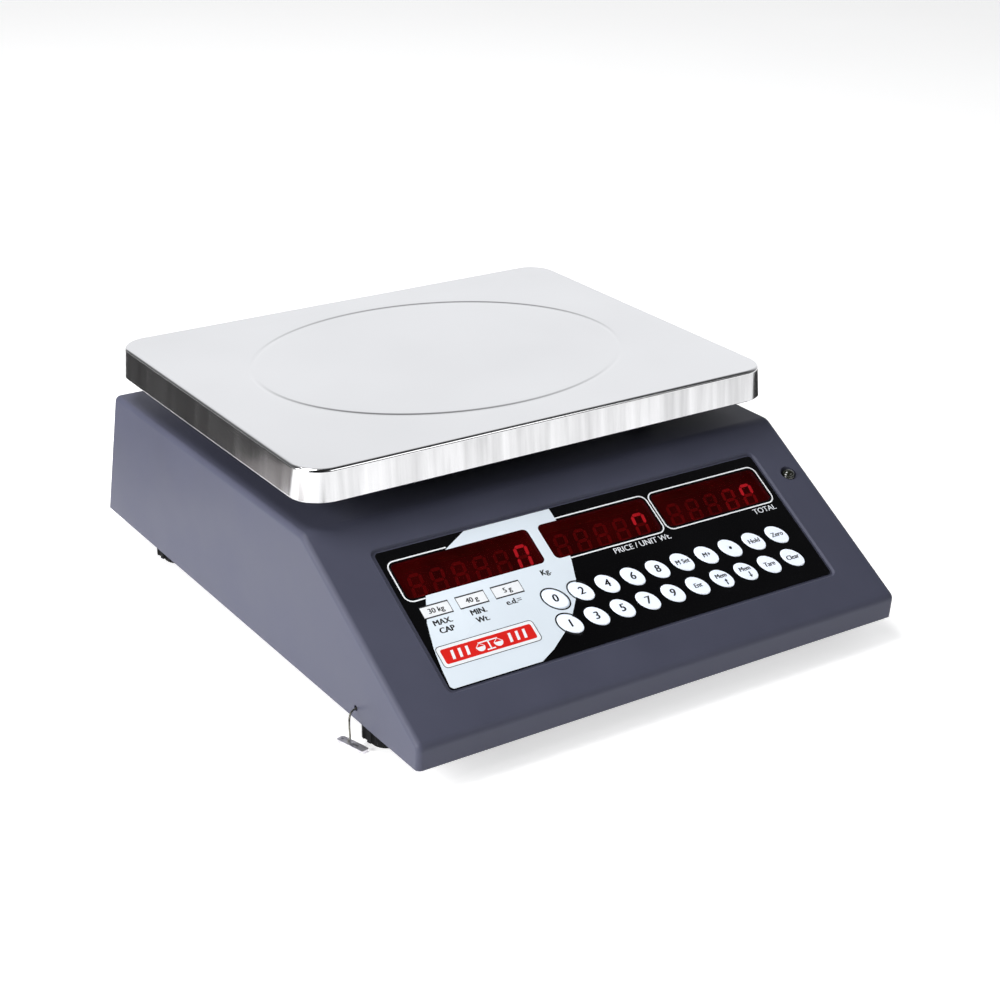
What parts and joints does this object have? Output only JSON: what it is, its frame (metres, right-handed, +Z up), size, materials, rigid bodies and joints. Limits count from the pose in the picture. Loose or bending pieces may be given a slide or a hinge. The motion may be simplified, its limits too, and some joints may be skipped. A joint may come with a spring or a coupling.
{
  "type": "counting scale",
  "caption": "Bench counting scale: wedge-shaped case with a sloping display and key panel, a stainless platter on a load cell, and levelling feet.",
  "frame": {"origin": "middle of the case's footprint, on the surface that the feet stand on", "axes": "+Z up; -Y towards the front lip and the person who uses the scale; +X to that person's right"},
  "size_m": [0.3096, 0.364, 0.1235],
  "materials": {
    "case_plastic": "fine satin texture, dark blue-grey",
    "tray_metal": "die-cast, dark grey coat",
    "panel_print": "printed film, satin gloss",
    "key_cap": "moulded, satin",
    "red_filter": "dark red tinted plastic, polished",
    "circuit_film": "clear amber film",
    "stainless": "polished stainless sheet",
    "circuit_board": "green solder mask",
    "vial": "clear plastic with yellow-green fluid",
    "cast_aluminium": "cast and milled",
    "rubber": "moulded black rubber",
    "steel": "zinc plated",
    "brass": "turned",
    "black_plastic": "moulded, satin",
    "battery_plastic": "moulded, grey-black",
    "iron": "varnished laminations",
    "digit_plastic": "moulded, dark face with red segments",
    "seal_steel": "twisted thin steel wire",
    "seal_alloy": "soft pressed metal"
  },
  "bodies": {
    "case": {"top_cover": "case_plastic", "base_tray": "tray_metal", "panel_overlay": "panel_print", "display_windows": "red_filter", "membrane_circuit": "circuit_film", "snap_domes": "stainless", "display_board": "circuit_board", "level_vial": "vial", "load_cell": "cast_aluminium", "cell_base_spacer": "steel", "cell_base_bolts": "steel", "overload_stop": "steel", "foot_inserts": "brass", "main_board": "circuit_board", "board_parts": "black_plastic", "case_screws": "steel", "battery": "battery_plastic", "battery_strap": "steel", "transformer": "iron", "power_inlet": "black_plastic", "power_switch": "black_plastic", "inner_leads": "black_plastic", "seal_wire": "seal_steel", "seal_tag": "seal_alloy", "weight_digits": "digit_plastic", "unit_value_digits": "digit_plastic", "total_digits": "digit_plastic"},
    "platform": {"platform_spider": "cast_aluminium", "platter_bumpers": "rubber", "cell_top_bolts": "steel"},
    "platter": {"platter": "stainless"},
    "rocker": {"power_rocker": "black_plastic"},
    "key_0": {"key_0": "key_cap"},
    "key_1": {"key_1": "key_cap"},
    "key_2": {"key_2": "key_cap"},
    "key_3": {"key_3": "key_cap"},
    "key_4": {"key_4": "key_cap"},
    "key_5": {"key_5": "key_cap"},
    "key_6": {"key_6": "key_cap"},
    "key_7": {"key_7": "key_cap"},
    "key_8": {"key_8": "key_cap"},
    "key_9": {"key_9": "key_cap"},
    "key_memory_set": {"key_memory_set": "key_cap"},
    "key_memory_plus": {"key_memory_plus": "key_cap"},
    "key_point": {"key_point": "key_cap"},
    "key_hold": {"key_hold": "key_cap"},
    "key_zero": {"key_zero": "key_cap"},
    "key_enter": {"key_enter": "key_cap"},
    "key_memory_up": {"key_memory_up": "key_cap"},
    "key_memory_down": {"key_memory_down": "key_cap"},
    "key_tare": {"key_tare": "key_cap"},
    "key_clear": {"key_clear": "key_cap"},
    "pad_front_left": {"foot_pad_front_left": "rubber"},
    "wheel_front_left": {"foot_wheel_front_left": "black_plastic"},
    "pad_front_right": {"foot_pad_front_right": "rubber"},
    "wheel_front_right": {"foot_wheel_front_right": "black_plastic"},
    "pad_rear_left": {"foot_pad_rear_left": "rubber"},
    "wheel_rear_left": {"foot_wheel_rear_left": "black_plastic"},
    "pad_rear_right": {"foot_pad_rear_right": "rubber"},
    "wheel_rear_right": {"foot_wheel_rear_right": "black_plastic"}
  },
  "joints": [
    {"name": "platform_deflect", "type": "slide", "parent": "case", "child": "platform", "axis": [0, 0, 1], "range_m": [-0.001, 0], "stiffness_N_per_m": 294000, "deforming": ["load_cell"]},
    {"name": "platter_lift", "type": "slide", "parent": "platform", "child": "platter", "axis": [0, 0, 1], "range_m": [0, 0.06]},
    {"name": "rocker_tilt", "type": "hinge", "parent": "case", "child": "rocker", "pos_m": [0.101, 0.165, 0.04], "axis": [0, 0, 1], "range_deg": [-22, 0]},
    {"name": "key_0_press", "type": "slide", "parent": "case", "child": "key_0", "axis": [0, 0.5111, -0.8595], "range_m": [0, 0.0004], "stiffness_N_per_m": 3750},
    {"name": "key_1_press", "type": "slide", "parent": "case", "child": "key_1", "axis": [0, 0.5111, -0.8595], "range_m": [0, 0.0004], "stiffness_N_per_m": 3750},
    {"name": "key_2_press", "type": "slide", "parent": "case", "child": "key_2", "axis": [0, 0.5111, -0.8595], "range_m": [0, 0.0004], "stiffness_N_per_m": 3750},
    {"name": "key_3_press", "type": "slide", "parent": "case", "child": "key_3", "axis": [0, 0.5111, -0.8595], "range_m": [0, 0.0004], "stiffness_N_per_m": 3750},
    {"name": "key_4_press", "type": "slide", "parent": "case", "child": "key_4", "axis": [0, 0.5111, -0.8595], "range_m": [0, 0.0004], "stiffness_N_per_m": 3750},
    {"name": "key_5_press", "type": "slide", "parent": "case", "child": "key_5", "axis": [0, 0.5111, -0.8595], "range_m": [0, 0.0004], "stiffness_N_per_m": 3750},
    {"name": "key_6_press", "type": "slide", "parent": "case", "child": "key_6", "axis": [0, 0.5111, -0.8595], "range_m": [0, 0.0004], "stiffness_N_per_m": 3750},
    {"name": "key_7_press", "type": "slide", "parent": "case", "child": "key_7", "axis": [0, 0.5111, -0.8595], "range_m": [0, 0.0004], "stiffness_N_per_m": 3750},
    {"name": "key_8_press", "type": "slide", "parent": "case", "child": "key_8", "axis": [0, 0.5111, -0.8595], "range_m": [0, 0.0004], "stiffness_N_per_m": 3750},
    {"name": "key_9_press", "type": "slide", "parent": "case", "child": "key_9", "axis": [0, 0.5111, -0.8595], "range_m": [0, 0.0004], "stiffness_N_per_m": 3750},
    {"name": "key_memory_set_press", "type": "slide", "parent": "case", "child": "key_memory_set", "axis": [0, 0.5111, -0.8595], "range_m": [0, 0.0004], "stiffness_N_per_m": 3750},
    {"name": "key_memory_plus_press", "type": "slide", "parent": "case", "child": "key_memory_plus", "axis": [0, 0.5111, -0.8595], "range_m": [0, 0.0004], "stiffness_N_per_m": 3750},
    {"name": "key_point_press", "type": "slide", "parent": "case", "child": "key_point", "axis": [0, 0.5111, -0.8595], "range_m": [0, 0.0004], "stiffness_N_per_m": 3750},
    {"name": "key_hold_press", "type": "slide", "parent": "case", "child": "key_hold", "axis": [0, 0.5111, -0.8595], "range_m": [0, 0.0004], "stiffness_N_per_m": 3750},
    {"name": "key_zero_press", "type": "slide", "parent": "case", "child": "key_zero", "axis": [0, 0.5111, -0.8595], "range_m": [0, 0.0004], "stiffness_N_per_m": 3750},
    {"name": "key_enter_press", "type": "slide", "parent": "case", "child": "key_enter", "axis": [0, 0.5111, -0.8595], "range_m": [0, 0.0004], "stiffness_N_per_m": 3750},
    {"name": "key_memory_up_press", "type": "slide", "parent": "case", "child": "key_memory_up", "axis": [0, 0.5111, -0.8595], "range_m": [0, 0.0004], "stiffness_N_per_m": 3750},
    {"name": "key_memory_down_press", "type": "slide", "parent": "case", "child": "key_memory_down", "axis": [0, 0.5111, -0.8595], "range_m": [0, 0.0004], "stiffness_N_per_m": 3750},
    {"name": "key_tare_press", "type": "slide", "parent": "case", "child": "key_tare", "axis": [0, 0.5111, -0.8595], "range_m": [0, 0.0004], "stiffness_N_per_m": 3750},
    {"name": "key_clear_press", "type": "slide", "parent": "case", "child": "key_clear", "axis": [0, 0.5111, -0.8595], "range_m": [0, 0.0004], "stiffness_N_per_m": 3750},
    {"name": "foot_front_left_reach", "type": "slide", "parent": "case", "child": "pad_front_left", "axis": [0, 0, 1], "range_m": [-0.0061, 0]},
    {"name": "foot_front_left_turn", "type": "hinge", "parent": "pad_front_left", "child": "wheel_front_left", "pos_m": [-0.1375, -0.13, 0.007], "axis": [0, 0, 1], "range_deg": [-1728, 0]},
    {"name": "foot_front_right_reach", "type": "slide", "parent": "case", "child": "pad_front_right", "axis": [0, 0, 1], "range_m": [-0.0061, 0]},
    {"name": "foot_front_right_turn", "type": "hinge", "parent": "pad_front_right", "child": "wheel_front_right", "pos_m": [0.1375, -0.13, 0.007], "axis": [0, 0, 1], "range_deg": [-1728, 0]},
    {"name": "foot_rear_left_reach", "type": "slide", "parent": "case", "child": "pad_rear_left", "axis": [0, 0, 1], "range_m": [-0.0061, 0]},
    {"name": "foot_rear_left_turn", "type": "hinge", "parent": "pad_rear_left", "child": "wheel_rear_left", "pos_m": [-0.135, 0.1161, 0.007], "axis": [0, 0, 1], "range_deg": [-1728, 0]},
    {"name": "foot_rear_right_reach", "type": "slide", "parent": "case", "child": "pad_rear_right", "axis": [0, 0, 1], "range_m": [-0.0061, 0]},
    {"name": "foot_rear_right_turn", "type": "hinge", "parent": "pad_rear_right", "child": "wheel_rear_right", "pos_m": [0.135, 0.1161, 0.007], "axis": [0, 0, 1], "range_deg": [-1728, 0]}
  ],
  "couplings": [
    {"joint": "foot_front_left_reach", "follows": "foot_front_left_turn", "m_per_rad": 0.00019894},
    {"joint": "foot_front_right_reach", "follows": "foot_front_right_turn", "m_per_rad": 0.00019894},
    {"joint": "foot_rear_left_reach", "follows": "foot_rear_left_turn", "m_per_rad": 0.00019894},
    {"joint": "foot_rear_right_reach", "follows": "foot_rear_right_turn", "m_per_rad": 0.00019894}
  ]
}
